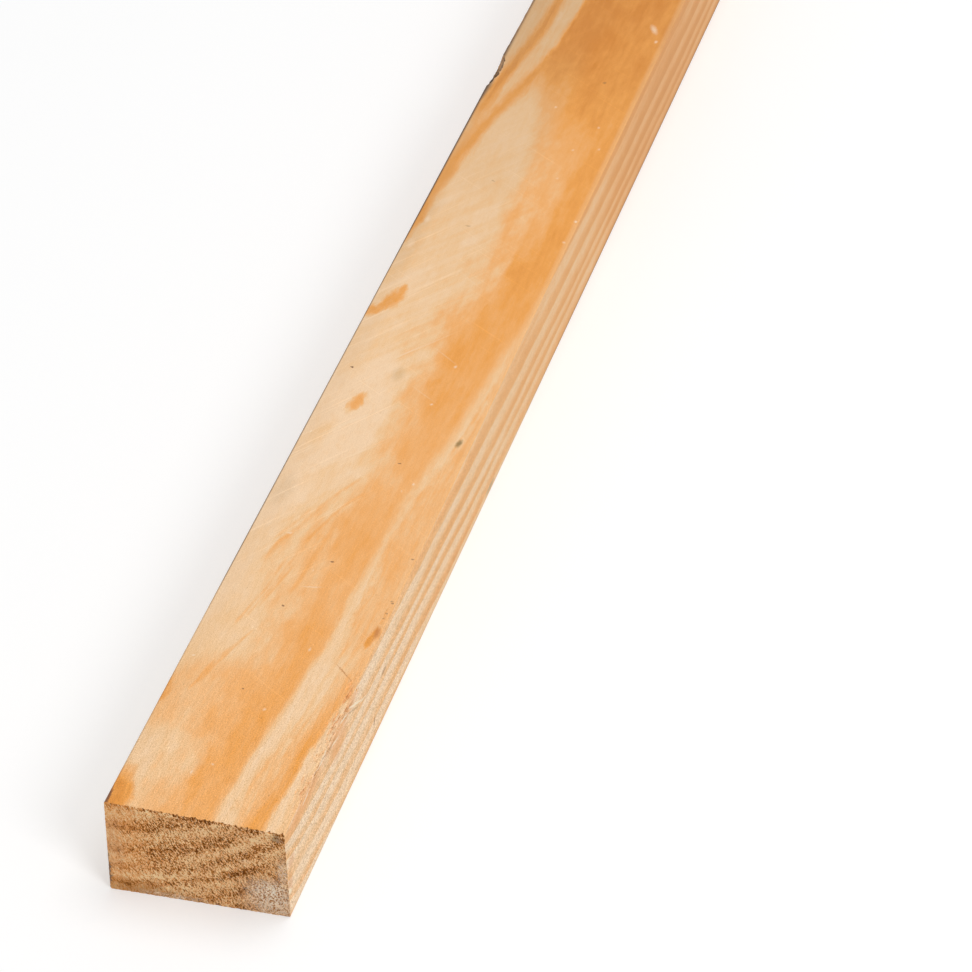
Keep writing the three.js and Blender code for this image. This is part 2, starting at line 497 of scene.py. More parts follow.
# Summer wood: amber, deepest against the ring's end and beyond the cream tongue.
summer_depth = [
    (0, 0.54), (60, 0.6), (96, 0.6), (150, 0.5), (224, 0.5), (256, 0.56), (340, 0.68), (460, 0.7),
    (495, 0.8), (560, 0.88),
]
cloudy = [(0, 0.36), (430, 0.36), (500, 0.5), (640, 0.5)]
deepest = [(522, 27, 42, 16, -14, 0.2), (432, 48, 60, 16, 0, 0.12), (352, 48, 44, 12, 0, 0.1)]
cloudiness = add(tree, "ShaderNodeMath", clouds, patches, operation="ADD")
summer = layered(
    tree,
    drawn_line(tree, along, summer_depth),
    (strands, 0.3),
    (scaled_along(tree, cloudiness, along, cloudy), 1.0),
    (spots(tree, moved, deepest), 1.0),
)
into_summer = layered(tree, to_summer, (patches, 12.0), (clouds, 14.0))
into_summer = crossing(tree, into_summer, along, summer_softness, -0.8, 0.8)
tone = add(tree, "ShaderNodeMix", into_summer, spring, summer)

# The incoming ring: deep amber against its end, fading into the cream tongue; left of its end
# pale strips with one amber band between them.
arc_comes = [(350, 0), (400, 1), (640, 1)]
strip_tone = [(380, 0.5), (416, 0.5), (436, 0.42), (460, 0.34), (490, 0.25), (530, 0.22), (640, 0.24)]
band_line = [(432, 1.6), (466, 4.2), (486, 6.2), (506, 8.4), (525, 11), (640, 12.4)]
arc_fades = step(tree, layered(tree, to_left_end, (patches, 5.0)), 1.0, 8.0, 0.72, 0.0)
arc_tone = scaled_along(tree, arc_fades, along, arc_comes)
tone = add(tree, "ShaderNodeMath", tone, arc_tone, operation="MAXIMUM")
band = thread(tree, along, across, band_line, 4.4)
left_strip = layered(tree, drawn_line(tree, along, strip_tone), (lines, 0.35), (patches, 0.4), (band, 0.6))
on_left = step(tree, layered(tree, to_left_end, (patches, 3.0)), -2.4, 1.4, 1.0, 0.0)
on_left = scaled_along(tree, on_left, along, arc_comes)
tone = add(tree, "ShaderNodeMix", on_left, tone, left_strip)

# Past the right ring's end: a pale streak, then light amber lines that gather to the next end.
streak_tone = [
    (0, 0.2), (40, 0.08), (100, 0.08), (128, 0.05), (147, 0.13), (166, 0.17), (192, 0.18),
    (212, 0.18), (290, 0.2), (330, 0.3), (640, 0.4),
]
beyond_tone = [
    (0, 0.34), (50, 0.22), (70, 0.12), (90, 0.22), (112, 0.34), (150, 0.41), (190, 0.4), (220, 0.38),
    (300, 0.38), (640, 0.6),
]
streak_width = [(0, 7), (80, 7), (120, 4.5), (190, 3.5), (220, 6), (330, 6), (640, 4)]
gathering = step(tree, to_outer_end, -9.0, -1.5, 0.0, 0.42)
past_streak = layered(tree, to_right_end, (patches, 3.0))
past_streak = crossing(tree, past_streak, along, streak_width, 0.3, 1.2)
streak, beyond = drawn_line(tree, along, streak_tone), drawn_line(tree, along, beyond_tone)
past_right = add(tree, "ShaderNodeMix", past_streak, streak, beyond)
past_right = layered(tree, past_right, (lines, 0.4), (patches, 0.4), (gathering, 1.0))
over_right_end = layered(tree, to_right_end, (patches, 4.0))
over_right_end = crossing(tree, over_right_end, along, right_softness, -0.7, 0.7)
tone = add(tree, "ShaderNodeMix", over_right_end, tone, past_right)
past_outer = layered(tree, step(tree, to_outer_end, 3.0, 9.0, 0.1, 0.4), (lines, 0.4))
beyond_outer = step(tree, layered(tree, to_outer_end, (patches, 3.0)), -0.8, 2.2)
tone = add(tree, "ShaderNodeMix", beyond_outer, tone, past_outer)

# Thin curved amber threads in the spring wood: several run side by side.
amber_threads = [
    ([(68, 10.2), (83, 14), (104, 20.5)], 1.1, 0.2),
    ([(64, 8.4), (79, 12), (98, 17.6)], 0.9, 0.14),
    ([(62, 7.4), (76, 10.6), (92, 15)], 1.0, 0.12),
    ([(100, 12), (113, 14), (128, 16.8), (146, 18.6)], 1.1, 0.16),
    ([(104, 14.4), (118, 16.6), (134, 19.4), (150, 21)], 1.0, 0.12),
    ([(112, 17), (126, 19.4), (142, 22)], 1.1, 0.14),
    ([(134, 8.4), (146, 11), (160, 16), (179, 22.4), (189, 27), (202, 34)], 1.7, 0.22),
    ([(137, 10), (150, 13.6), (164, 18.8), (182, 25.4), (194, 31)], 2.2, 0.14),
    ([(140, 6.6), (154, 10.8), (168, 16), (184, 22)], 1.6, 0.1),
    ([(120, 25), (136, 27), (152, 28.4), (168, 31)], 1.8, 0.16),
    ([(150, 21), (164, 24.6), (178, 29.4), (190, 35)], 1.4, 0.16),
    ([(4, 44.6), (32, 47.2), (64, 51.6), (96, 54.2), (128, 55.4)], 1.4, 0.1),
    ([(20, 49), (48, 52), (72, 55.6), (100, 58), (140, 59.4)], 1.2, 0.08),
    ([(214, 58), (240, 60.4), (262, 62)], 1.2, 0.16),
    ([(196, 60.4), (222, 62), (250, 63)], 1.0, 0.12),
]
calm = add(tree, "ShaderNodeSeparateXYZ", drifted(tree, place, ((26, 8, 8), (0, 3, 3)))).node.outputs
patchy = step(tree, streaks(tree, place, (9, 3, 3), 3.0, 0.6), -0.3, 0.12, 0.35, 1.2)
for points, half_width, strength in amber_threads:
    line = thread(tree, calm["X"], calm["Y"], points, half_width)
    line = add(tree, "ShaderNodeMath", line, patchy, operation="MULTIPLY")
    tone = layered(tree, tone, (line, strength))

# The far part follows the rings alone.
face_ring = [
    (0, 0.36), (0.1, 0.08), (0.26, 0.08), (0.44, 0.34), (0.66, 0.6), (0.86, 0.76), (0.94, 0.68),
    (1, 0.36),
]
far_drift = [(560, 0.2), (700, 0.18), (1100, 0.08), (2000, 0.08), (2600, 0.2), (3000, 0.26)]
bowed = drifted(tree, place, ((70, 14, 14), (0, 5, 0.6)), ((16, 4, 4), (0, 1.2, 0.2)))
far_tone = ring_tone(tree, ring_number(tree, bowed), face_ring)
drift = drawn_line(tree, along, far_drift)
far_tone = layered(tree, far_tone, (drift, 1.0), (strands, 0.3), (clouds, 0.3))
passed = step(tree, layered(tree, along, (cloudiness, 180.0)), near_part_ends, far_part_starts)
tone = add(tree, "ShaderNodeMix", passed, tone, far_tone)

# Places where the figure runs a little deeper or paler than its ring would make it.
deeper_places = [
    (128, 36, 16, 7, 0, 0.13), (160, 22, 14, 4, 0, 0.15), (384, 35, 16, 6, 0, 0.14),
    (416, 10, 16, 6, 0, 0.12), (352, 5, 24, 8, 0, 0.1), (416, 35, 16, 6, 0, 0.1),
    (480, 16, 14, 4, 10, 0.12), (540, 36, 26, 14, 0, 0.12),
]
paler_places = [
    (160, 29, 14, 4, 0, 0.16), (224, 42, 14, 4, 0, 0.13), (24, 54, 22, 3.6, 0, 0.18),
    (96, 10, 12, 4, 0, 0.08), (384, 42, 16, 4, 0, 0.12), (352, 43, 14, 6, 0, 0.1),
    (480, 22, 12, 3.6, 10, 0.1), (500, 44, 26, 7, 0, 0.12), (525, 60, 22, 5, 0, 0.14),
]
ragged = drifted(tree, place, ((12, 5, 5), (9, 5, 0)), ((2.5, 1, 1), (2.5, 1.6, 0)))
tone = uneven(tree, tone, ragged, deeper_places, paler_places)

# Stained places: resin-soaked patches of amber with ragged, softly faded edges.
amber_patches = [
    (2, 2, 25, 8.4, -3, 0.86), (9, 5, 11, 5, -14, 0.74), (62, -1, 12, 6, 0, 0.6),
    (240.5, 14.4, 8, 3.1, 16, 0.56), (243, 15.6, 5, 2.4, -30, 0.52), (309.5, 7.6, 10, 5.4, 14, 0.66),
    (302.5, 3.4, 10, 4.4, 30, 0.62), (315, 9.4, 5.6, 3, 6, 0.6), (104.8, 61.8, 6.4, 3, 10, 0.78),
    (109.4, 62.6, 6.4, 3.4, -4, 0.86), (120, 62.8, 9, 1.1, 0, 0.6), (372, 0, 30, 4.4, 0, 0.74),
]
mottle = streaks(tree, place, (5, 2.4, 2.4), 3.0, 0.6)
patch = layered(tree, spots(tree, ragged, amber_patches, 1.7), (mottle, 0.3))
tone = add(tree, "ShaderNodeMath", tone, patch, operation="MAXIMUM")

# Mottling, and streaks of fibres, which are drawn some ten times as wide as real ones.
fibres = streaks(tree, place, (5, 0.42, 0.42), 3.0, 0.65)
tone = layered(tree, tone, (mottle, 0.14), (fibres, 0.06))
wood = ramp_colour(tree, tone, pine_colours)

# Greyer wood left of the incoming ring, duller cream beside it, and duller, darker wood along the left edge.
raw_across = add(tree, "ShaderNodeSeparateXYZ", place).node.outputs["Y"]
left_greyness = [(430, 0), (470, 0.12), (520, 0.4), (620, 0.3), (760, 0)]
cream_greyness = [(280, 0), (384, 0.09), (448, 0.18), (490, 0.16), (560, 0.05), (3000, 0.05)]
left_edge_dulling = [(0, 0.05), (150, 0.1), (320, 0.16), (384, 0.28), (450, 0.26), (500, 0.12), (600, 0.1), (3000, 0.1)]
inward = step(tree, raw_across, 5.0, 12.0, 1.0, 0.65)
greyed = scaled_along(tree, on_left, along, left_greyness)
greyed = add(tree, "ShaderNodeMath", greyed, inward, operation="MULTIPLY")
creamy = step(tree, layered(tree, across, (clouds, 20.0)), 28.0, 44.0, 1.0, 0.0)
by_left_edge = step(tree, layered(tree, raw_across, (patches, 12.0)), 1.0, 13.0, 1.0, 0.0)
for belt, dullness in ((creamy, cream_greyness), (by_left_edge, left_edge_dulling)):
    dulled = scaled_along(tree, belt, along, dullness)
    greyed = add(tree, "ShaderNodeMath", greyed, dulled, operation="MAXIMUM")
wood = add(tree, "ShaderNodeMix", greyed, wood, rgb("#A98050"), data_type="RGBA")

# The right arris is painted paler: a painted highlight where it turns to the light.
right_arris_highlight = step(tree, raw_across, plank_width - 2.8, plank_width - 0.6, 0.0, 0.3)
wood = add(tree, "ShaderNodeMix", right_arris_highlight, wood, rgb("#F2CB9C"), data_type="RGBA")

# Fine grain, hairline scratches that cross it both ways, and painted shade that darkens the face in places
# further along.
grain_strength = [(0, 1.45), (60, 1.15), (100, 0.82), (200, 0.5), (400, 0.2), (480, 0.14), (3000, 0.2)]
rising_where = [(130, 0.3), (190, 1), (330, 1), (400, 0.5), (560, 0.3), (3000, 0.3)]
light_falloff_shade = [
    (0, 1), (380, 1), (480, 0.95), (520, 0.945), (540, 0.925), (620, 0.925), (800, 1), (1600, 1),
    (3000, 0.93),
]
light = fine_grain(tree, place, drawn_line(tree, along, grain_strength))
hairlines = streaks(tree, place, (34, 0.8, 0.8), 2.0, 0.5, (0, 0, 36))
rising = scaled_along(tree, step(tree, hairlines, 0.06, 0.3, 0.0, 0.11), along, rising_where)
cross_hairs = streaks(tree, place, (28, 0.6, 0.6), 2.0, 0.5, (0, 0, 124))
falling = step(tree, cross_hairs, 0.1, 0.3, 0.0, 0.08)
light = layered(tree, light, (rising, step(tree, across, 22.0, 44.0, 1.0, 0.2)), (falling, 1.0))
wood = lit(tree, wood, light)
wood = add(tree, "ShaderNodeVectorMath", wood, drawn_line(tree, along, light_falloff_shade), operation="SCALE")

# Small marks: bare pale flecks and scratches, dark specks, and one greenish bruise.
pale_flecks = [
    (61, 37.3, 1.1, 0.8, 0, 0.5), (23.5, 23.6, 1.1, 0.5, 0, 0.6), (29, 29.2, 0.8, 0.7, 0, 0.5),
    (96, 42.4, 1.3, 0.6, 0, 0.5), (197, 50, 0.9, 0.7, 0, 0.6), (272, 44.2, 1.1, 0.9, 0, 0.6),
    (246.5, 42.3, 0.9, 0.8, 0, 0.6), (379.5, 62.7, 1, 0.9, 0, 0.8), (364, 62, 1, 0.9, 0, 0.5),
    (460, 32.6, 1.2, 0.8, 0, 0.5), (449, 53.8, 1.1, 0.8, 0, 0.4), (433, 58.2, 1.1, 0.7, 0, 0.4),
    (430, 48, 1.1, 0.8, 0, 0.4), (408, 47.4, 1.1, 0.8, 0, 0.35), (520, 60.2, 1.6, 1, 0, 0.6),
    (529.5, 56.9, 5, 1.7, -26, 0.55), (219, 3.4, 0.8, 0.5, 0, 0.7), (192, 47, 0.9, 0.6, 0, 0.4),
    (158, 15, 0.8, 1.3, 0, 0.5), (129.9, 32.5, 0.5, 5, -10, 0.4), (139, 30, 0.7, 0.4, 0, 0.5),
    (83, 4, 0.6, 0.7, 0, 0.6), (348, 3.6, 4, 1.6, 10, 0.3), (367, 5, 3, 1.4, 0, 0.3),
]
scratches = [
    (277, 24, 11, 0.6, 37, 0.5), (278, 38.5, 9.5, 0.45, 128, 0.28), (252, 37.5, 10, 0.45, 125, 0.24),
    (232, 19, 15, 0.5, 40, 0.45), (224, 12, 14, 0.45, 38, 0.4), (255, 14, 12, 0.45, 36, 0.35),
    (210, 24, 16, 0.5, 42, 0.35), (330, 33, 10, 0.45, 130, 0.2), (284, 30, 18, 0.4, 38, 0.35),
]
dark_specks = [
    (145.5, 35, 0.5, 0.9, 0, 1), (69.8, 26.5, 0.4, 0.6, 30, 0.9), (117, 25.7, 0.4, 0.8, 20, 0.8),
    (208, 41.3, 0.4, 0.8, 0, 0.9), (262.4, 6, 0.5, 0.9, 20, 1), (366, 22, 0.5, 1.3, 0, 0.3),
    (400, 22.8, 0.5, 1.1, 30, 0.3), (483, 47.4, 1, 0.9, 0, 0.4), (154, 62.5, 0.5, 0.7, 0, 0.6),
    (127.8, 63, 0.6, 0.7, 0, 0.5), (129, 62.4, 0.5, 0.6, 0, 0.5),
    (119, 62.4, 0.5, 0.5, 0, 0.4), (122, 62.6, 0.5, 0.6, 0, 0.4), (124, 62, 0.4, 0.5, 0, 0.3),
    (3, 0.4, 8, 1.1, 0, 0.9),
]
bruises = [(225.3, 59.2, 3.3, 1.4, 6, 0.75), (262, 24.5, 6, 3.4, 0, 0.15), (182, 4.5, 12, 5, 0, 0.1)]
nicked = drifted(tree, place, ((1.2, 0.8, 0.8), (1.4, 1, 0)))
# Each of the face's marks is (where it is read, its ovals, hardness, colour). The small ones come
# first, then a scratch and a stain by the right arris, the dead knot's resin collar with the
# amber patches on its left, and the spike knot: a red-brown lens with a wing on each side.
face_marks = [
    (nicked, pale_flecks, 1.25, "#FCE4C8"),
    (place, scratches, 1.0, "#FADFBE"),
    (nicked, bruises, 1.6, "#6E6132"),
    (nicked, dark_specks, 2.2, "#6B3A17"),
    (nicked, [(86.9, 57.7, 0.34, 7, 44.5, 0.75)], 1.6, "#BC7634"),
    (nicked, [(111, 62.4, 4.4, 1.4, -8, 0.55)], 1.4, "#B5671F"),
    (nicked, [(1045, 25, 7.6, 9.4, 0, 0.7)], 3.0, "#B06E30"),
    (nicked, [(1056, 9, 15, 7, 10, 0.9)], 1.7, "#EC9A3E"),
    (nicked, [(1021, 2, 13, 7, 0, 0.85)], 1.7, "#D08A3A"),
    (nicked, [(2117, 33, 16, 5, 0, 0.7), (2173, 36, 15, 4.4, 0, 0.6)], 1.7, "#B4752F"),
    (nicked, [(2144, 35, 11, 19, 25, 0.95)], 2.6, "#94552B"),
    (nicked, [(2144, 35, 5, 13, 20, 0.6)], 1.6, "#B0785A"),
]
for read_at, marks, hardness, colour in face_marks:
    wood = marked(tree, wood, read_at, marks, hardness, colour)

# The left arris is painted darker, as painted shade where it turns away from the light, most of all past the
# chip.
darkened = [
    (0, 0.9), (330, 0.9), (360, 1.1), (450, 1.6), (466, 2), (473, 3.6), (480, 2.4), (700, 2), (3000, 2),
]
darkness = [(0, 0.25), (105, 0.25), (140, 0.75), (310, 0.7), (350, 0.95), (3000, 0.97)]
arris_shade = step(tree, raw_across, 0.3, drawn_line(tree, along, darkened), 1.0, 0.0)
arris_shade = scaled_along(tree, arris_shade, along, darkness)
wood = add(tree, "ShaderNodeMix", arris_shade, wood, rgb(arris_shade_colour), data_type="RGBA")
satin_wood(tree, wood, tone, fibres)

# ---- Plank: edges, underside and ends ----
# The same stock seen across its rings: stripes on the edges, broad bands underneath, and the
# rings themselves on the ends, which a coarse saw has left brown and furry.

edge_colours = [(0.0, "#F7D7B2"), (0.2, "#F3CA99"), (0.45, "#EFB575"), (0.7, "#E79F50"), (1.0, "#DA8E36")]
planed_edge = new_material("planed_pine_edge")
tree = planed_edge.node_tree
place = plank_place(tree)
moved = drifted(tree, place, ((110, 14, 14), (0, 4, 4)), ((16, 3, 3), (0, 0.8, 0.8)))
parts = add(tree, "ShaderNodeSeparateXYZ", place).node.outputs
along, across, height = parts["X"], parts["Y"], parts["Z"]
edge_ring = [(0, 0.2), (0.1, 0.03), (0.3, 0.02), (0.5, 0.2), (0.76, 0.43), (0.9, 0.45), (1, 0.2)]
ring_contrast = [(0, 1), (180, 1), (280, 0.75), (3000, 0.75)]
edge_drift = [
    (0, 0.15), (40, 0.08), (100, 0.1), (130, 0.17), (200, 0.28), (400, 0.42), (520, 0.62), (700, 0.5),
    (3000, 0.5),
]
tone = ring_tone(tree, ring_number(tree, moved), edge_ring)
tone = add(tree, "ShaderNodeMath", tone, 0.2, operation="SUBTRACT")
tone = scaled_along(tree, tone, along, ring_contrast)
strands = streaks(tree, moved, (90, 2.4, 2.4), 3.0, 0.6)
patches = streaks(tree, place, (16, 6, 6), 4.0, 0.6)
mottle = streaks(tree, place, (4, 2, 2), 3.0, 0.6)
fibres = streaks(tree, place, (5, 0.42, 0.42), 3.0, 0.65)
tone = layered(
    tree,
    tone,
    (drawn_line(tree, along, edge_drift), 1.0),
    (strands, 0.16),
    (patches, 0.3),
    (mottle, 0.22),
    (step(tree, height, 27.0, 36.0, 0.0, 0.07), 1.0),
)
# Some stripes are deeper or paler for part of their way. Here and below, a mark's "across" is
# its depth under the upper arris.
deeper_stripes = [
    (19, 19, 22, 2.8, 5, 0.24), (192, 13.3, 34, 3.2, 5, 0.18), (128, 7.6, 24, 3, 5, 0.12),
    (512, 7.6, 60, 3.6, 0, 0.16), (300, 3, 50, 3.6, 0, 0.14), (64, 3, 18, 3.6, 0, 0.14),
    (384, 24.7, 50, 3, 0, 0.08),
]
paler_stripes = [
    (19, 24.7, 22, 2.8, 5, 0.2), (64, 20, 22, 3, 5, 0.14), (256, 24.7, 34, 3, 4, 0.18),
    (256, 35, 40, 3, 0, 0.14), (192, 7.6, 30, 2.8, 5, 0.16), (128, 3, 24, 3, 0, 0.14),
    (512, 30, 50, 3.4, 0, 0.1), (320, 35, 40, 3, 0, 0.1), (64, 35, 20, 3, 5, 0.14),
]
below = add(tree, "ShaderNodeMath", plank_thickness, height, operation="SUBTRACT")
folded_up = add(tree, "ShaderNodeCombineXYZ", along, below, plank_thickness)
on_right = step(tree, across, plank_width / 2, plank_width / 2 + 1)
tone = uneven(tree, tone, folded_up, deeper_stripes, paler_stripes, 1.0, on_right)
wood = ramp_colour(tree, tone, edge_colours)
grain_strength = [(0, 2.3), (100, 1.9), (300, 0.55), (500, 0.16), (3000, 0.3)]
# Further along, the edge is painted a little darker: painted shade.
light_falloff_shade = [(0, 1), (330, 1), (450, 0.975), (520, 0.96), (3000, 0.96)]
# Near its upper arris the edge is painted lighter in places: a painted highlight.
upper_edge_highlight = [(0, 0), (90, 0), (130, 0.06), (210, 0.05), (270, 0), (400, 0.02), (450, 0.06), (3000, 0.06)]
wood = lit(tree, wood, fine_grain(tree, place, drawn_line(tree, along, grain_strength)))
wood = add(tree, "ShaderNodeVectorMath", wood, drawn_line(tree, along, light_falloff_shade), operation="SCALE")
wood = lit(tree, wood, scaled_along(tree, step(tree, height, 31.0, 36.0), along, upper_edge_highlight))

# Marks on the right edge: a lifted fibre that hangs from the torn arris, with a painted shadow just
# under it, a resin patch beside it, and small brown and grey dents.
frayed = drifted(tree, folded_up, ((3, 1.2, 1), (1, 0.8, 0)))
edge_marks = [
    ([(60, 7, 13, 8, 0, 0.5), (22, 3.4, 28, 4.4, 0, 0.6), (64, 3, 24, 3.6, 0, 0.65)], "#EFA660"),
    ([(70, 2.8, 10, 1.2, 8, 0.5), (52, 3.6, 8, 1.1, 4, 0.5), (36, 2.6, 8, 1.1, -4, 0.45)], "#B98048"),
    ([(112, 17.8, 4, 1.0, 0, 0.6), (99, 30.5, 1, 2.4, 20, 0.6)], "#A8713F"),
    ([(248, 35.8, 7, 1.4, 0, 0.5)], "#8C7C60"),
    # Painted shadow just under the lifted fibre.
    ([(77, 7.6, 9, 0.6, 28, 0.45), (68, 3.6, 3, 1.0, 20, 0.5), (47, 2.6, 7, 0.5, 10, 0.6)], "#A8763F"),
    ([(30, 3.8, 5, 0.5, -8, 0.5), (6, 16, 4, 3, 0, 0.4), (4, 24, 3, 5, 0, 0.4)], "#D98C45"),
    ([(80, 7.2, 12, 0.45, 27, 0.85), (66, 3.0, 7, 0.5, 14, 0.8), (56, 5, 6, 0.5, 12, 0.6)], "#FFEFD2"),
    ([(3, 27, 2.6, 1.4, 30, 0.8), (88, 11.5, 5, 0.4, 16, 0.6), (50, 1.2, 9, 0.5, 4, 0.6)], "#FFEFD2"),
    ([(40, 1.8, 6, 0.5, 8, 0.8), (24, 3, 5, 0.5, -6, 0.7), (84, 2.2, 6, 0.5, 14, 0.6)], "#FFEFD2"),
]
for marks, colour in edge_marks:
    wood = marked(tree, wood, frayed, marks, 1.8, colour, on_right)

# The upper left arris is painted darker, as its shade, and further on the lower arrises are painted darker,
# as shade low by the floor.
near_left = step(tree, across, 0.3, 1.2, 1.0, 0.0)
near_top = step(tree, height, plank_thickness - 2.5, plank_thickness - 0.8)
arris_shade = add(tree, "ShaderNodeMath", near_left, near_top, operation="MULTIPLY")
arris_shade = scaled_along(tree, arris_shade, along, darkness)
near_floor = step(tree, height, 0.3, 2.4, 0.5, 0.0)
further_on = step(tree, along, 250.0, 400.0)
low_arris_shade = add(tree, "ShaderNodeMath", near_floor, further_on, operation="MULTIPLY")
# Torn pits are painted brown, as shade in them.
depth = add(tree, "ShaderNodeAttribute", attribute_name="pit_depth").node.outputs["Fac"]
pit_shade = step(tree, depth, 0.2, 1.0, 0.0, 0.5)
for darkening, colour in ((arris_shade, arris_shade_colour), (low_arris_shade, "#7C6040"), (pit_shade, "#8A5A2C")):
    wood = add(tree, "ShaderNodeMix", darkening, wood, rgb(colour), data_type="RGBA")
satin_wood(tree, wood, tone, fibres)

# Sawn end grain: torn fibre ends soak up light, so it is browner than the faces. Pits are dark,
# lifted tufts are pale, and the strokes lie the way that the saw went, down to the right.
stroke_turn = -52
end_colours = [
    (0.0, "#FFDDAA"), (0.14, "#FFCE97"), (0.32, "#F6B97B"), (0.5, "#EAA261"), (0.68, "#CE8743"),
    (0.85, "#A2612A"), (1.0, "#704016"),
]
sawn_end = new_material("sawn_pine_end")
tree = sawn_end.node_tree
place = plank_place(tree)
tufts = streaks(tree, place, (1, 2.8, 0.55), 2.0, 0.6, (stroke_turn, 0, 0))
hairs = streaks(tree, place, (1, 1.7, 0.36), 2.0, 0.6, (stroke_turn - 8, 0, 0))
crumbs = streaks(tree, place, (0.6, 0.55, 0.55), 1.0, 0.7)
grit = streaks(tree, place, (0.7, 0.8, 0.62), 1.0, 0.7, (stroke_turn, 0, 0))
pricks = drifted(tree, place, ((3, 3, 3), (0, 1, 1)))
pricks = streaks(tree, pricks, (0.7, 0.9, 0.6), 1.0, 0.6, (stroke_turn, 0, 0))
lumps = streaks(tree, place, (5, 5, 5), 3.0, 0.6)
shift = layered(tree, 0.0, (tufts, 4.0), (lumps, 6.0))
aside = add(tree, "ShaderNodeCombineXYZ", 0.0, shift, shift)
moved = add(tree, "ShaderNodeVectorMath", place, aside, operation="ADD")
end_ring = [(0, 0.62), (0.12, 0.38), (0.3, 0.24), (0.5, 0.4), (0.68, 0.64), (0.85, 0.74), (1, 0.62)]
tone = ring_tone(tree, ring_number(tree, moved), end_ring)
parts = add(tree, "ShaderNodeSeparateXYZ", place).node.outputs
across, height = parts["Y"], parts["Z"]
coarse = step(tree, layered(tree, across, (lumps, 20.0)), 2.0, 26.0, 0.36, 1.0)
tone = add(tree, "ShaderNodeMath", tone, 0.46, operation="SUBTRACT")
contrast = layered(tree, 0.35, (coarse, 0.5))
tone = layered(tree, 0.4, (tone, contrast), (lumps, 0.3))
# Some rings run deeper or paler for part of their way. Each mark is (across, height, half length,
# half width, turn, strength).
deeper_rings = [
    (18, 17, 12, 4, 18, 0.28), (12, 28, 10, 3.4, 10, 0.18), (32, 23, 8, 3, 20, 0.22),
    (48, 17, 11, 3.8, 26, 0.4), (41, 28, 8, 3, 24, 0.18), (22, 17.6, 7, 3, 18, 0.36),
    (42, 2.4, 8, 2.6, 0, 0.26),
]
paler_rings = [
    (52, 34, 11, 3.4, 12, 0.28), (60, 28, 6, 5, 20, 0.28), (31, 17, 7, 3.4, 22, 0.28),
    (17, 9, 16, 4.6, 12, 0.24), (27, 3, 14, 3.6, 8, 0.24), (52, 2, 7, 2.4, 0, 0.2),
]
on_near_end = step(tree, parts["X"], 100.0, 200.0, 1.0, 0.0)
seen_flat = add(tree, "ShaderNodeCombineXYZ", across, height, plank_thickness)
tone = uneven(tree, tone, seen_flat, deeper_rings, paler_rings, 1.1, on_near_end)
# Pits are painted dark, as shade in them; the pricked holes between the fibres are dark, lifted fibres
# and crumbs vary the tone, and along the top rim the cut is broken.
fuzz = layered(tree, 0.0, (tufts, 1.8), (hairs, 3.4), (crumbs, 3.2))
depth = add(tree, "ShaderNodeAttribute", attribute_name="pit_depth").node.outputs["Fac"]
pits = step(tree, depth, 0.35, 1.0, -0.04, 0.45)
pricked = step(tree, pricks, 0.15, 0.22, 0.0, 0.32)
under_rim = add(tree, "ShaderNodeMath", plank_thickness, height, operation="SUBTRACT")
bites = streaks(tree, place, (5, 1.8, 1.2), 3.0, 0.7)
rim_edge = layered(tree, -0.3, (bites, -14.0), (under_rim, 1.0))
broken = step(tree, rim_edge, -0.6, 0.9, 0.27, 0.0)
from_left = step(tree, across, 6.0, 16.0)
tone = layered(tree, tone, (fuzz, coarse), (pits, 1.0), (pricked, 1.0), (broken, from_left))
wood = ramp_colour(tree, tone, end_colours)
# Grey saw dust lies low on the right, speckled; a bruise is dark. Each mark is (across, height,
# half width, half height, strength, colour).
dust_colours = [(0.05, "#A86E42"), (0.25, "#F4C08C"), (0.5, "#FFE4BC"), (0.9, "#FFF2DE")]
stood = drifted(tree, place, ((2.4, 2.4, 2.4), (0, 4, 4)))
speckle = add(tree, "ShaderNodeMath", grit, crumbs, operation="ADD")
dust = ramp_colour(tree, layered(tree, 0.72, (speckle, 6.4)), dust_colours)
end_marks = [
    (10, 2, 18, 4.6, 0.5, rgb("#A87038")),
    (57, 10.5, 12, 8, 1.0, dust), (58, 4.5, 14, 8, 0.8, dust), (62.5, 20, 3.4, 10, 0.5, dust),
    (1, 20, 7, 17, 0.3, rgb("#DDB48C")),
    (22, 1.0, 18, 1.6, 0.5, dust),
    (61.3, 35.6, 2.4, 2.0, 0.55, rgb("#5C4C3C")), (62.2, 34.6, 1.2, 1.0, 0.6, rgb("#C8B49C")),
    # A dark grey line down the end's left edge: painted shade, as on the left arris.
    (0, 8, 0.9, 12, 0.75, rgb("#6B625C")),
    (50, 22.6, 3.2, 0.6, 0.5, rgb("#FFDDB0")), (11, 34, 0.5, 3, 0.8, rgb("#FFD9A6")),
]
for mark_across, mark_height, half_width, half_height, strength, colour in end_marks:
    middle, reach = (0, mark_across, mark_height), (1, half_width, half_height)
    oval = add(tree, "ShaderNodeMapping", stood, middle, None, reach, vector_type="TEXTURE")
    oval = add(tree, "ShaderNodeVectorMath", oval, (0, 1, 1), operation="MULTIPLY")
    oval = add(tree, "ShaderNodeVectorMath", oval, operation="LENGTH")
    oval = step(tree, layered(tree, oval, (speckle, 1.3)), 0.3, 1.0, strength, 0.0)
    shown = add(tree, "ShaderNodeMath", oval, on_near_end, operation="MULTIPLY")
    wood = add(tree, "ShaderNodeMix", shown, wood, colour, data_type="RGBA")
relief = add(tree, "ShaderNodeMath", tufts, hairs, operation="ADD")
finish(tree, wood, 0.9, torn_specular, add(tree, "ShaderNodeBump", 0.8, 0.0005, None, relief))

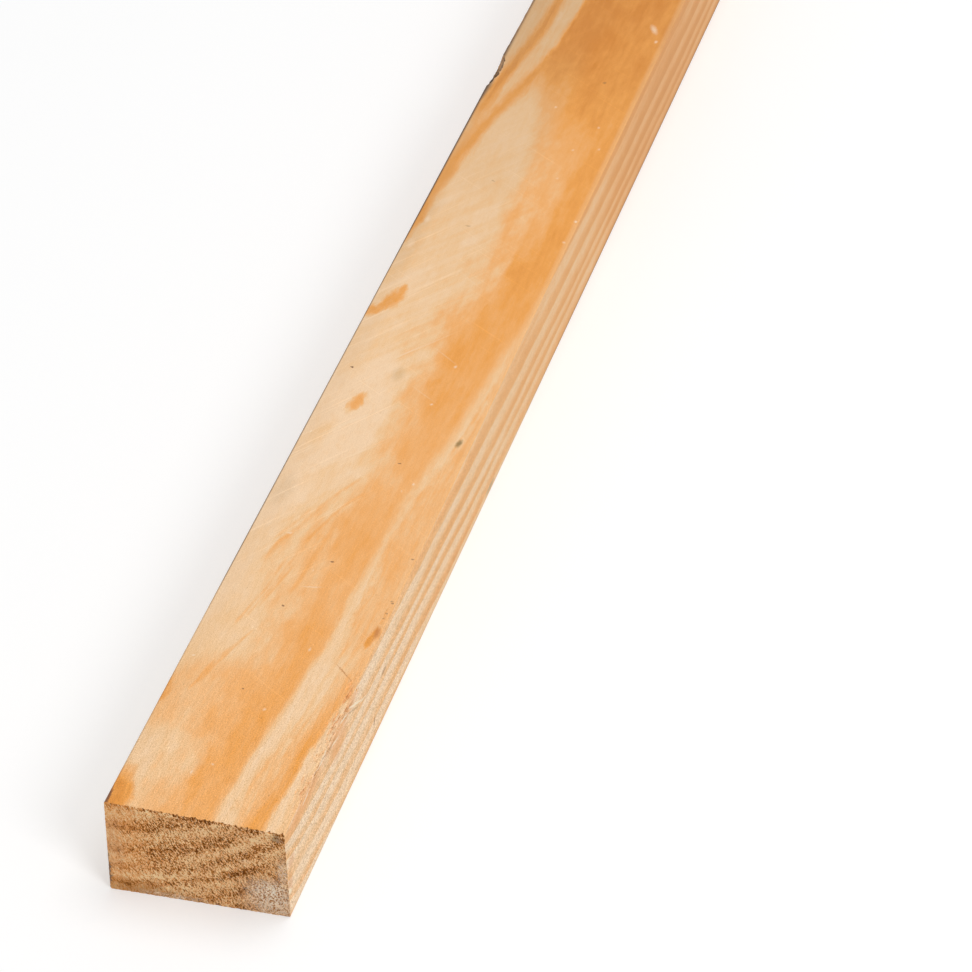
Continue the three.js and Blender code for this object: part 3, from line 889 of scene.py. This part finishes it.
# Torn pine: where a chip has left the arris, painted near black at its near end as the chip's shadow, paler
# beyond.
torn_wood = new_material("torn_pine")
tree = torn_wood.node_tree
place = plank_place(tree)
torn_colours = [(0.3, "#241709"), (0.5, "#5E4227"), (0.85, "#B8906A")]
fibres = streaks(tree, place, (9, 0.45, 0.45), 3.0, 0.6)
along = add(tree, "ShaderNodeSeparateXYZ", place).node.outputs["X"]
chip_shading = step(tree, along, 474.0, 488.0, 0.35, 0.75)
tone = add(tree, "ShaderNodeMath", fibres, chip_shading, operation="ADD")
finish(tree, ramp_colour(tree, tone, torn_colours), 0.85, smooth_specular)

# Dead knot: dark brown inside its hole and along the drying check.
knot_wood = new_material("dead_knot")
tree = knot_wood.node_tree
place = plank_place(tree)
knot_colours = [(0.3, "#3A2614"), (0.6, "#6B4726"), (0.85, "#94683C")]
tone = layered(tree, 0.5, (streaks(tree, place, (1.5, 1.5, 1.5), 3.0, 0.6), 1.0))
finish(tree, ramp_colour(tree, tone, knot_colours), 0.8, smooth_specular)

# ---- Plank: shape ----
# One closed mesh: an end grid of fine cells, loops of vertices round the section that stand
# close together only where the wood is torn or holed, and the far end's grid.

arris_radius = 0.6


def eased(across, height):
    """Pulls a point of the plain rectangle in to the section with its eased arrises."""
    core_across = min(max(across, arris_radius), plank_width - arris_radius)
    core_height = min(max(height, arris_radius), plank_thickness - arris_radius)
    core = Vector((core_across, core_height))
    out = Vector((across, height)) - core
    if out.length > arris_radius:
        out *= arris_radius / out.length
    return core + out


def row_point(along, across, height):
    """A point in millimetres on the plank as a point in the frame."""
    return Vector((plank_low[0] + along * MM, plank_high[1] - across * MM, plank_low[2] + height * MM))


def on_plank(point):
    """A point in the frame as its along, across and height on the plank in millimetres."""
    return (point.x - plank_low[0]) / MM, (plank_high[1] - point.y) / MM, (point.z - plank_low[2]) / MM


# The near end was cut a little out of square and in twist: what each corner is short by.
short_top_left, short_top_right = 1.26, 0.4
short_bottom_left, short_bottom_right = 0.02, 1.76


def near_cut(across, height):
    """How far inside the plank's full length the saw passed at this place on the near end."""
    right = across / plank_width
    down = 1 - height / plank_thickness
    top = short_top_left * (1 - right) + short_top_right * right
    bottom = short_bottom_left * (1 - right) + short_bottom_right * right
    return top * (1 - down) + bottom * down


def ripple(along, across, height, roughness=0.8, gap=2.0):
    """Noise of three octaves, each finer than the last by the gap."""
    return noise.fractal(Vector((along, across, height)), roughness, gap, 3)


# Relief of the coarse saw cut, in mm: strokes run down to the right, with lumps between them,
# and the rim is bitten except at its left corner.
stroke_angle = math.radians(48)
stroke_length, stroke_width, lump_size = 1.9, 0.42, 2.6
bite_width, bite_height, rim_reach, whole_corner, corner_fade = 1.1, 2, 1.4, 7, 12
near_relief_depth, far_relief_depth = 0.62, 0.4
near_seed, far_seed = 1.0, 5.0


def saw_relief(across, height, seed):
    """Depth of the furry saw cut below its high points, from 0 to 1, or more at its torn rim."""
    run = across * math.cos(stroke_angle) - height * math.sin(stroke_angle)
    side = across * math.sin(stroke_angle) + height * math.cos(stroke_angle)
    strokes = ripple(run / stroke_length, side / stroke_width, seed, 0.7, 2.1)
    lumps = ripple(across / lump_size, height / lump_size, seed + 7)
    relief = min(max(0.42 + 0.34 * strokes + 0.3 * lumps, 0), 1)
    at_rim = max(0, 1 - (plank_thickness - height) / rim_reach)
    at_rim *= min(1, max(0, across - whole_corner) / corner_fade)
    bites = ripple(across / bite_width, height / bite_height, seed + 11)
    return relief + 2.2 * at_rim * max(0, bites)


def end_grid(mesh, cell, depth_at):
    """A grid of vertices over an end. depth_at gives each one's place along; returns its rows."""
    columns, rows = round(plank_width / cell), round(plank_thickness / cell)
    grid = []
    for j in range(rows + 1):
        line = []
        for i in range(columns + 1):
            point = eased(plank_width * i / columns, plank_thickness * (1 - j / rows))
            line.append(mesh.verts.new(row_point(depth_at(*point), *point)))
        grid.append(line)
    return grid


def rim(grid):
    """The outer loop of a grid, from its top left corner, clockwise as seen from the near end."""
    right = [line[-1] for line in grid[1:-1]]
    left = [line[0] for line in grid[1:-1]]
    return grid[0] + right + grid[-1][::-1] + left[::-1]


# How far round the section the underside starts and how far round it all is, from the top left.
half_round = plank_width + plank_thickness
whole_round = 2 * half_round


def girth(vertex):
    """How far round the section a vertex lies, in mm from the top left arris."""
    _, across, height = on_plank(vertex.co)
    sides = [
        (plank_thickness - height, across),
        (plank_width - across, half_round - height),
        (height, half_round + plank_width - across),
        (across, half_round + plank_width + height),
    ]
    return min(sides, key=lambda side: side[0])[1]


def zip_loops(mesh, first, second, flip):
    """Closes the gap between two loops of different counts with triangles."""
    i = j = 0
    # Each loop comes back to its first vertex, whose girth is then the whole way round.
    first = [(v, girth(v)) for v in first] + [(first[0], whole_round)]
    second = [(v, girth(v)) for v in second] + [(second[0], whole_round)]
    while i < len(first) - 1 or j < len(second) - 1:
        a, b = first[i], second[j]
        step_first = j == len(second) - 1 or (i < len(first) - 1 and first[i + 1][1] <= second[j + 1][1])
        i, j = (i + 1, j) if step_first else (i, j + 1)
        corners = [a, first[i] if step_first else second[j], b]
        corners = corners[::-1] if flip else corners
        made = mesh.faces.new([vertex for vertex, _ in corners])
        strip = strip_at(on_plank(a[0].co)[0])
        for corner, (vertex, around) in zip(made.loops, corners):
            corner[bake_map].uv = skin_place(strip, on_plank(vertex.co)[0], around)


FACE, EDGE, END, TORN, KNOT = range(5)

shape = bmesh.new()
pit_depth = shape.verts.layers.float.new("pit_depth")
fuzziness = shape.verts.layers.float.new("fuzziness")
fibre_lie = shape.verts.layers.float_vector.new("fibre_lie")

# The UV map OFBake, on a square of 1024: three strips of the unrolled plank, the near one at
# twice the scale, over its two ends.
bake_map = shape.loops.layers.uv.new("OFBake")
map_size, map_margin = 1024, 8
# Each strip: where it starts and stops along the plank, and its lower and upper edge on the map.
strips = [(0, 616, 6, 394), (616, 1800, 402, 636), (1800, plank_length, 644, 878)]
# Girths at the four arrises against their place across a strip: most of it is the upper face's,
# and least the underside's.
arris_shares = [(0, 0), (plank_width, 0.428), (half_round, 0.624)]
arris_shares += [(half_round + plank_width, 0.804), (whole_round, 1)]
# Each end: its left and lower edge on the map, and its scale across and up.
near_end_map, far_end_map = (8, 890, 5, 3.3), (340, 890, 3.3, 3.3)


def strip_at(along):
    """The strip that holds this place along the plank."""
    return next(strip for strip in strips if along <= strip[1])


def skin_place(strip, along, around):
    """Where a place along the plank, at this girth, lies on the map."""
    start, stop, low, high = strip
    for (first, share), (last, next_share) in zip(arris_shares, arris_shares[1:]):
        if around <= last:
            break
    share += (next_share - share) * (around - first) / (last - first)
    u = map_margin + (map_size - 2 * map_margin) * (along - start) / (stop - start)
    return u / map_size, (low + (high - low) * share) / map_size


def fill_grid(mesh, grid, flip, end_map):
    """Faces for the grid of an end, each with its place on the map."""
    left, low, scale_across, scale_up = end_map
    for upper, lower in zip(grid, grid[1:]):
        for i in range(len(upper) - 1):
            corners = [upper[i], upper[i + 1], lower[i + 1], lower[i]]
            made = mesh.faces.new(corners[::-1] if flip else corners)
            made.material_index = END
            for corner in made.loops:
                _, across, height = on_plank(corner.vert.co)
                u, v = left + across * scale_across, low + height * scale_up
                corner[bake_map].uv = u / map_size, v / map_size


near_cell, far_cell = 0.4, 0.8
near_rows = end_grid(
    shape, near_cell, lambda a, h: near_cut(a, h) + near_relief_depth * saw_relief(a, h, near_seed)
)
far_rows = end_grid(
    shape, far_cell, lambda a, h: plank_length - far_relief_depth * saw_relief(a, h, far_seed)
)
fill_grid(shape, near_rows, True, near_end_map)
fill_grid(shape, far_rows, False, far_end_map)


def spread(*stretches):
    """Places over stretches, each a (start, end, step) in mm. The last end isn't one of them."""
    places = []
    for start, end, gap in stretches:
        count = round((end - start) / gap)
        places += [start + (end - start) * k / count for k in range(count)]
    return places


# Round the section the vertices stand close together at both upper arrises, which are torn,
# and on the upper face where the dead knot's hole is. All steps are in mm.
fine_step, well_step, face_step, edge_step, under_step = 0.35, 0.84, 1.6, 2.8, 3.2
fine_reach = 5.6
well_start, well_end = 17, 48
on_face = spread(
    (0, fine_reach, fine_step),
    (fine_reach, well_start, face_step),
    (well_start, well_end, well_step),
    (well_end, plank_width - fine_reach, face_step),
    (plank_width - fine_reach, plank_width, fine_step),
)
down_edge = spread((0, fine_reach, fine_step), (fine_reach, plank_thickness, edge_step))
underneath = spread((0, plank_width, under_step))
up_edge = spread(
    (0, plank_thickness - fine_reach, edge_step),
    (plank_thickness - fine_reach, plank_thickness, fine_step),
)

# Each is (girth, across, height): its girth is how far round it lies from the top left arris.
section = [(a, a, plank_thickness) for a in on_face]
section += [(plank_width + d, plank_width, plank_thickness - d) for d in down_edge]
section += [(half_round + a, plank_width - a, 0) for a in underneath]
section += [(half_round + plank_width + h, 0, h) for h in up_edge]

# Torn grain beside the right arris, near the sawn end: how far it goes, in mm.
tear_start, tear_end, tear_reach, tear_depth, tear_fade = 10, 92, 5, 1.5, 14
tear_length, tear_width = 4.5, 1.1


def torn_depth(along, across, height):
    """How deep the torn grain beside the top right arris is, in mm."""
    off_arris = (plank_width - across) + (plank_thickness - height)
    if off_arris > tear_reach or not tear_start < along < tear_end:
        return 0
    hold = min(1, (along - tear_start) / tear_fade, (tear_end - along) / tear_fade)
    pits = ripple(along / tear_length, across / tear_width, height / tear_width, 0.8, 2.1)
    return hold * (1 - off_arris / tear_reach) * max(0, pits + 0.12) * tear_depth


# The chip on the upper left arris and the long shallow wane that starts inside it: where each
# starts, its length, and its reach over the upper face and down the edge.
arris_tears = [(469, 28, 2.8, 2.4), (483, 130, 1.3, 1.3)]
# How blunt the ends of a tear and of a drying check are: 1 is a sine's, less is blunter.
bluntness = 0.8


def arris_tear(along):
    """How far the chip and the wane reach over the upper face and down the left edge here."""
    over = down = 0
    for start, length, widest, deepest in arris_tears:
        share = (along - start) / length
        if 0 < share < 1:
            full = math.sin(math.pi * share) ** bluntness
            over, down = max(over, full * widest), max(down, full * deepest)
    ragged = 1 + 0.3 * ripple(along / 3, 0, 9)
    return over * ragged, down * ragged


# The dead knot's hole: an oval well that leans towards the near end as it goes down. Its wall
# takes up the outer share of it.
knot_along, knot_across, knot_half_length, knot_half_width = 1045, 25, 5.5, 7.0
knot_well, knot_floor, knot_lean = 9.0, 0.6, math.radians(14)
knot_wall_share, knot_wobble = 0.22, 0.08

# The drying check across the heart of the spike knot.
check_along, check_across, check_half_length, check_half_width = 2144, 35, 12, 1.2
check_deepest, check_slant, check_wobble = 4.5, math.radians(14), 0.3

knot_rim_pull, check_rim_pull = 0.055, 0.25


def sunk(along, across):
    """Where a point of the upper face goes in the knot's hole or in the check, and how deep."""
    off_along, off_across = along - knot_along, across - knot_across
    reach = math.hypot(off_along / knot_half_length, off_across / knot_half_width)
    reach *= 1 + knot_wobble * noise.noise(Vector((off_along / 3, off_across / 3, 4)))
    if abs(reach - 1) < knot_rim_pull:
        return knot_along + off_along / reach, knot_across + off_across / reach, 0
    if reach < 1:
        depth = knot_well * min(1, (1 - reach) / knot_wall_share) ** 0.7
        depth *= 1 + knot_wobble * noise.noise(Vector((off_along / 1.5, off_across / 1.5, 14)))
        draw_in = 1 - (1 - knot_floor) * depth / knot_well
        slip = depth * math.tan(knot_lean)
        return knot_along + off_along * draw_in - slip, knot_across + off_across * draw_in, depth
    off_along, off_across = along - check_along, across - check_across
    lengthwise = off_along * math.sin(check_slant) - off_across * math.cos(check_slant)
    sideways = off_along * math.cos(check_slant) + off_across * math.sin(check_slant)
    sideways += check_wobble * noise.noise(Vector((lengthwise / 3, 0, 2)))
    if abs(lengthwise) < check_half_length:
        full = math.cos(math.pi / 2 * lengthwise / check_half_length) ** bluntness
        outside = abs(sideways) - check_half_width * full
        if abs(outside) < check_rim_pull:
            return along - math.copysign(outside, sideways), across, 0
        if outside < 0:
            share = sideways / (check_half_width * full)
            return along, across, check_deepest * full * math.sqrt(1 - share**2)
    return along, across, 0


def ring_of_vertices(mesh, along):
    """One loop of vertices round the plank."""
    loop = []
    over, down = arris_tear(along)
    for _, across, height in section:
        point = eased(across, height)
        place, depth, chipped = along, 0, None
        if height == plank_thickness and across < over:
            chipped = 1 - across / over
        elif across == 0 and plank_thickness - height < down:
            chipped = 1 + (plank_thickness - height) / down
        elif height == plank_thickness:
            place, aside, well = sunk(along, across)
            if well or aside != across:
                point, depth = (aside, plank_thickness - well), min(well, 1)
        if chipped is not None:
            angle = math.pi / 4 * chipped
            point = (over * math.cos(angle), plank_thickness - down * math.sin(angle))
            depth = 1
        torn = torn_depth(along, *point)
        if torn:
            # Torn wood goes in as far as it goes down, both on the slant of 45 degrees.
            inward = torn * 0.7
            point, depth = (point[0] - inward, point[1] - inward), min(torn / full_pit, 1)
        vertex = mesh.verts.new(row_point(place, *point))
        vertex[pit_depth] = depth
        off_arris = (plank_width - across) + (plank_thickness - height)
        if off_arris < tear_reach and tear_start < along < tear_end:
            vertex[fuzziness] = arris_fuzziness * (1 - off_arris / tear_reach)
            vertex[fibre_lie] = arris_fibre_lie
        loop.append(vertex)
    return loop


# Torn grain this deep, in mm, counts as a full pit; its loose fibres are few and lean outwards.
full_pit, arris_fuzziness, arris_fibre_lie = 0.7, 0.4, (1.0, -0.1, 0.25)

end_clearance = 3
last_place = plank_length - end_clearance
places_along = spread(
    (end_clearance, 95, 0.5), (95, 460, 20), (460, 500, 0.8), (500, 616, 3), (616, 1000, 24),
    (1000, 1036, 12), (1036, 1054, 0.5), (1054, 1800, 43), (1800, 2134, 33.5), (2134, 2154, 0.5),
    (2154, last_place, 42),
)
places_along.append(last_place)

loops = [ring_of_vertices(shape, along) for along in places_along]
girths = [around for around, _, _ in section] + [whole_round]
for k, (loop, following) in enumerate(zip(loops, loops[1:])):
    here, there = places_along[k : k + 2]
    strip = strip_at(there)
    for i in range(len(loop)):
        j = (i + 1) % len(loop)
        made = shape.faces.new([loop[i], loop[j], following[j], following[i]])
        corners = [(here, girths[i]), (here, girths[i + 1]), (there, girths[i + 1]), (there, girths[i])]
        for corner, place in zip(made.loops, corners):
            corner[bake_map].uv = skin_place(strip, *place)
zip_loops(shape, rim(near_rows), loops[0], False)
zip_loops(shape, rim(far_rows), loops[-1], True)

# Torn pine lines the chip on the left, and knot wood the two holes far along.
shape.normal_update()
torn_across, knots_start = 8, 900
for face in shape.faces:
    if face.material_index == END:
        continue
    along, across, _ = on_plank(face.calc_center_median())
    sunk_here = sum(vertex[pit_depth] for vertex in face.verts) / len(face.verts)
    if across < torn_across and sunk_here > 0.5:
        face.material_index = TORN
    elif along > knots_start and sunk_here > 0.2:
        face.material_index = KNOT
    else:
        face.material_index = FACE if face.normal.z > 0.5 else EDGE

# The fibres that the saw tore lie down to the right, standing off the cut a little.
for line in near_rows:
    for vertex in line:
        _, across, height = on_plank(vertex.co)
        vertex[pit_depth] = saw_relief(across, height, near_seed)
        vertex[fuzziness] = min(1, 0.12 + 1.3 * across / plank_width)
        vertex[fibre_lie] = (-0.4, -math.cos(stroke_angle), -math.sin(stroke_angle))

plank_mesh = bpy.data.meshes.new("plank_wood")
shape.to_mesh(plank_mesh)
shape.free()
plank = in_scene("plank_wood", plank_mesh)
for wood_finish in (planed_face, planed_edge, sawn_end, torn_wood, knot_wood):
    plank_mesh.materials.append(wood_finish)

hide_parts("plank")
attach(plank, "root")

# ---- Plank: torn fibres ----
# Loose fibres that the saw tore out of the near end, and the lifted grain of the torn arris
# next to it. Each is a thin sliver of pine, fast at its root, so they are grown on the plank.

fibre_count_per_m2 = 1.5e6
shortest_fibre, longest_fibre, fibre_radius = 0.35, 1.25, 0.06

# Torn fibre ends: pale where they are dry and clean, amber where they are summer wood.
loose_fibre = new_material("loose_pine_fibre")
tree = loose_fibre.node_tree
place = plank_place(tree)
tone = layered(tree, 0.42, (streaks(tree, place, (0.8, 0.4, 0.4), 1.0), 4.5))
fibre_colours = [(0.0, "#FFE6C2"), (0.2, "#FFCE96"), (0.5, "#EFAC68"), (0.75, "#C28242"), (1.0, "#744420")]
finish(tree, ramp_colour(tree, tone, fibre_colours), 0.9, torn_specular)

growth = bpy.data.node_groups.new("torn_fibres", "GeometryNodeTree")
growth.interface.new_socket("Geometry", in_out="INPUT", socket_type="NodeSocketGeometry")
named_inputs = {
    "Fibres per square metre": ("NodeSocketFloat", fibre_count_per_m2),
    "Shortest fibre": ("NodeSocketFloat", shortest_fibre * MM),
    "Longest fibre": ("NodeSocketFloat", longest_fibre * MM),
    "Root radius": ("NodeSocketFloat", fibre_radius * MM),
    "Unruliness": ("NodeSocketFloat", 0.38),
    "Seed": ("NodeSocketInt", 7),
}
sockets = {}
for name, (kind, _) in named_inputs.items():
    sockets[name] = growth.interface.new_socket(name, in_out="INPUT", socket_type=kind).identifier
growth.interface.new_socket("Geometry", in_out="OUTPUT", socket_type="NodeSocketGeometry")
given = growth.nodes.new("NodeGroupInput").outputs
fuzzy = add(growth, "GeometryNodeInputNamedAttribute", "fuzziness", data_type="FLOAT")
density = add(growth, "ShaderNodeMath", fuzzy, given["Fibres per square metre"], operation="MULTIPLY")
seed = given["Seed"]
points = add(
    growth, "GeometryNodeDistributePointsOnFaces", given["Geometry"], None, density, seed,
    distribute_method="RANDOM",
)
cone = add(growth, "GeometryNodeMeshCone", 3, 1, 1, 0.0, given["Root radius"], 1.0, fill_type="NGON")
lie = add(growth, "GeometryNodeInputNamedAttribute", "fibre_lie", data_type="FLOAT_VECTOR")
ends = (-1, -1, -1), (1, 1, 1)
stray = add(growth, "FunctionNodeRandomValue", *ends, None, seed, data_type="FLOAT_VECTOR")
heading = add(growth, "ShaderNodeVectorMath", stray, given["Unruliness"], operation="SCALE")
heading = add(growth, "ShaderNodeVectorMath", heading, lie, operation="ADD")
turned = add(growth, "FunctionNodeAlignRotationToVector", None, 1.0, heading, axis="Z")
lengths = given["Shortest fibre"], given["Longest fibre"]
long = add(growth, "FunctionNodeRandomValue", *lengths, None, seed, data_type="FLOAT")
tall = add(growth, "ShaderNodeCombineXYZ", 1.0, 1.0, long)
grown = add(growth, "GeometryNodeInstanceOnPoints", points, None, cone, None, None, turned, tall)
grown = add(growth, "GeometryNodeRealizeInstances", grown)
grown = add(growth, "GeometryNodeSetMaterial", grown, None, loose_fibre)
growth.links.new(grown, growth.nodes.new("NodeGroupOutput").inputs["Geometry"])

host = in_scene("fibre_host", plank_mesh)
modifier = host.modifiers.new("torn_fibres", "NODES")
modifier.node_group = growth
for name, (_, value) in named_inputs.items():
    modifier[sockets[name]] = value
evaluated = host.evaluated_get(bpy.context.evaluated_depsgraph_get())
fibre_mesh = bpy.data.meshes.new_from_object(evaluated)
bpy.data.objects.remove(host)
fibre_mesh.name = "torn_fibres"
fibre_mesh.materials.clear()
fibre_mesh.materials.append(loose_fibre)
fibre_mesh.polygons.foreach_set("material_index", [0] * len(fibre_mesh.polygons))
for name in ("OFBake", "pit_depth", "fuzziness", "fibre_lie"):
    if name in fibre_mesh.attributes:
        fibre_mesh.attributes.remove(fibre_mesh.attributes[name])

# Nothing stands out of the sawn length and the planed section.
for vertex in fibre_mesh.vertices:
    for axis in range(3):
        vertex.co[axis] = min(max(vertex.co[axis], plank_low[axis]), plank_high[axis])
fibres = in_scene("torn_fibres", fibre_mesh)
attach(fibres, "root")
